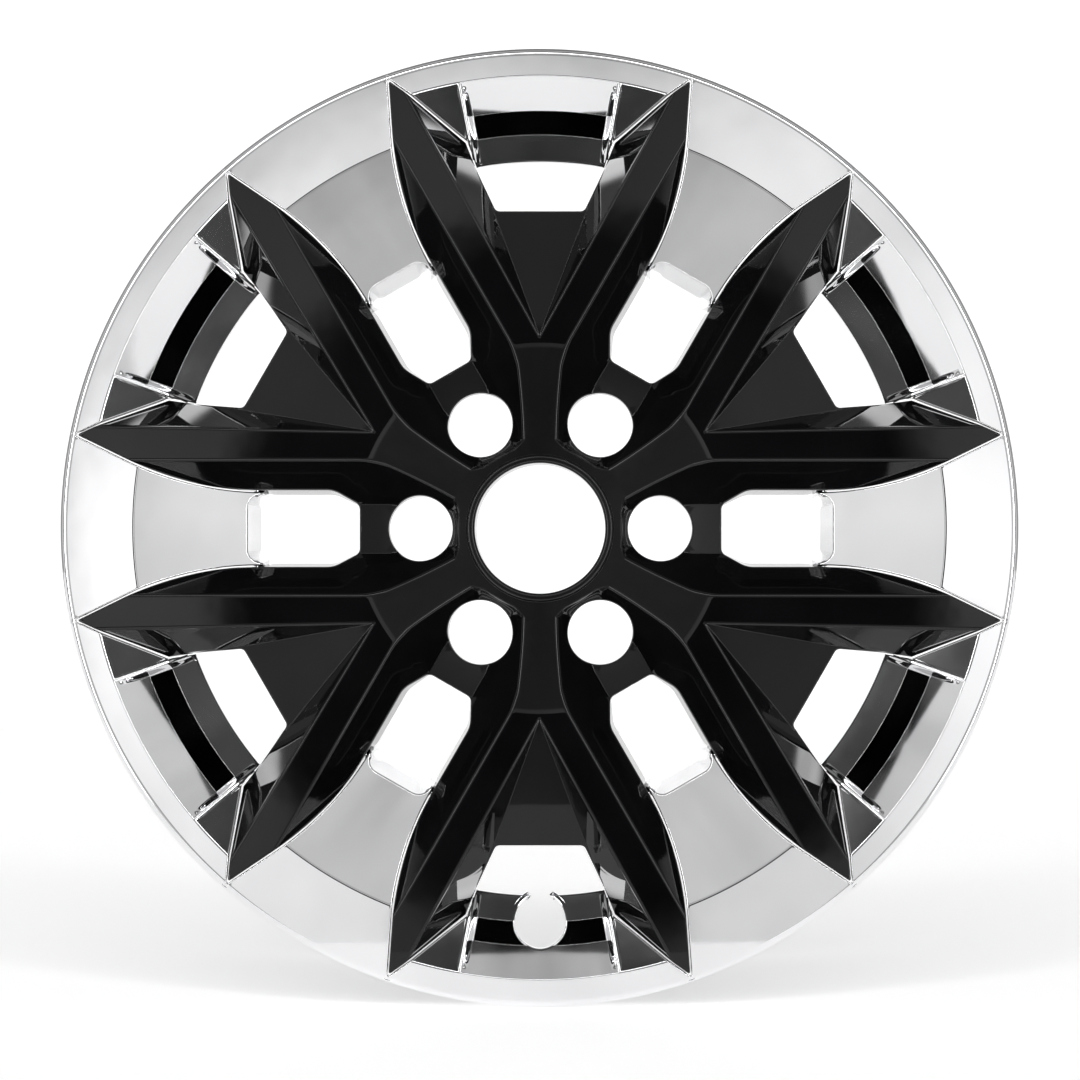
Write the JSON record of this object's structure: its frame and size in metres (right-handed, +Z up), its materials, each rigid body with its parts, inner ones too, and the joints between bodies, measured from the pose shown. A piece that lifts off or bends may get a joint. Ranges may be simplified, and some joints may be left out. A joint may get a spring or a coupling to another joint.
{
  "type": "wheel cover",
  "caption": "Clip-on wheel cover with a bright plated rim and panels and a gloss-black insert of paired spear-tipped spokes, open windows, lug holes and a centre hole.",
  "frame": {"origin": "on the wheel axis, in the plane of the insert's screw ears, inside the centre hole", "axes": "the wheel axis lies along Y with the front towards -Y, +Z is up with the valve hole at the bottom, +X is to the right seen from the front"},
  "size_m": [0.5479, 0.047, 0.548],
  "materials": {
    "plated_plastic": "mirror-bright plating on moulded plastic",
    "black_plastic": "high gloss",
    "zinc_steel": "zinc plated",
    "spring_steel": "blued, satin"
  },
  "bodies": {
    "root": {"chrome_ring": "plated_plastic", "spoke_insert": "black_plastic", "insert_screws": "zinc_steel", "retaining_clip_1": "spring_steel", "retaining_clip_2": "spring_steel", "retaining_clip_3": "spring_steel", "retaining_clip_4": "spring_steel", "retaining_clip_5": "spring_steel", "retaining_clip_6": "spring_steel"}
  },
  "joints": []
}
